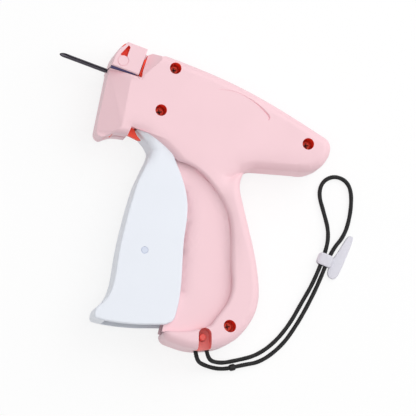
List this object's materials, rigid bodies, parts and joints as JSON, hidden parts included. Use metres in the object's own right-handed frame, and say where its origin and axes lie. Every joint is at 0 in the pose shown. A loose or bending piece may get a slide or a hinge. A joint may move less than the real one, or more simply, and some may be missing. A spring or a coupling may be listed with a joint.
{
  "type": "garment tag attacher",
  "caption": "Hand-held garment tag attacher: slotted needle, squeeze trigger coupled to a lever and push rod, toothed feed wheel with pawl, and a braided wrist strap.",
  "frame": {"origin": "on the needle's axis where the needle leaves the nose, on the parting plane of the casing", "axes": "+X back along the needle's axis, +Y the top of the tool, +Z its left side, up as it lies"},
  "size_m": [0.1503, 0.1207, 0.024],
  "materials": {
    "casing": "satin",
    "white_plastic": "satin",
    "guide": "satin",
    "inner_plastic": "satin",
    "needle_steel": "dark",
    "steel": "bright",
    "rubber": "matte",
    "cord": "braided",
    "cord_metal": "satin",
    "clip": "translucent"
  },
  "bodies": {
    "casing": {"left_housing": "casing", "right_housing": "casing", "nose_cap": "casing", "needle": "needle_steel", "needle_base": "needle_steel", "fastener_guide": "guide", "wheel_axle": "steel", "pawl_pin": "steel", "pawl_spring": "steel", "lever_pin": "steel", "rear_bumper": "rubber", "case_screws": "steel", "strap_post": "white_plastic", "return_spring": "steel", "strap_cord": "cord", "strap_bight": "cord", "strap_ferrule": "cord_metal"},
    "squeeze": {"trigger": "white_plastic", "trigger_pin": "steel", "drive_pin": "steel", "spring_pin": "white_plastic"},
    "lever": {"drive_lever": "inner_plastic"},
    "slide": {"slide_block": "inner_plastic", "push_rod": "steel", "slide_pin": "steel"},
    "wheel": {"feed_wheel": "white_plastic"},
    "pawl": {"feed_pawl": "white_plastic"},
    "clip": {"strap_slider": "clip"}
  },
  "joints": [
    {"name": "trigger_squeeze", "type": "hinge", "parent": "casing", "child": "squeeze", "pos_m": [0.0265, -0.02, 0], "axis": [0, 0, 1], "range_deg": [0, 15.5], "stiffness_Nm_per_rad": 1, "springref_deg": -11.46, "deforming": ["return_spring"]},
    {"name": "lever_swing", "type": "hinge", "parent": "casing", "child": "lever", "pos_m": [0.053, -0.0508, 0], "axis": [0, 0, 1], "range_deg": [0, 40.61]},
    {"name": "slide_stroke", "type": "slide", "parent": "casing", "child": "slide", "axis": [-1, 0, 0], "range_m": [0, 0.0376]},
    {"name": "wheel_turn", "type": "hinge", "parent": "casing", "child": "wheel", "pos_m": [0.014, -0.008, -0.0042], "axis": [1, 0, 0], "continuous": true},
    {"name": "pawl_click", "type": "hinge", "parent": "casing", "child": "pawl", "pos_m": [0.014, -0.0155, -0.0034], "axis": [-1, 0, 0], "range_deg": [0, 12], "stiffness_Nm_per_rad": 0.02, "springref_deg": -5.73, "deforming": ["pawl_spring"]},
    {"name": "clip_slide", "type": "slide", "parent": "casing", "child": "clip", "axis": [-0.0414, -0.9991, 0], "range_m": [0, 0.005]}
  ],
  "couplings": [
    {"joint": "lever_swing", "follows": "trigger_squeeze", "ratio": 2.6195},
    {"joint": "slide_stroke", "follows": "trigger_squeeze", "m_per_rad": 0.13893}
  ]
}
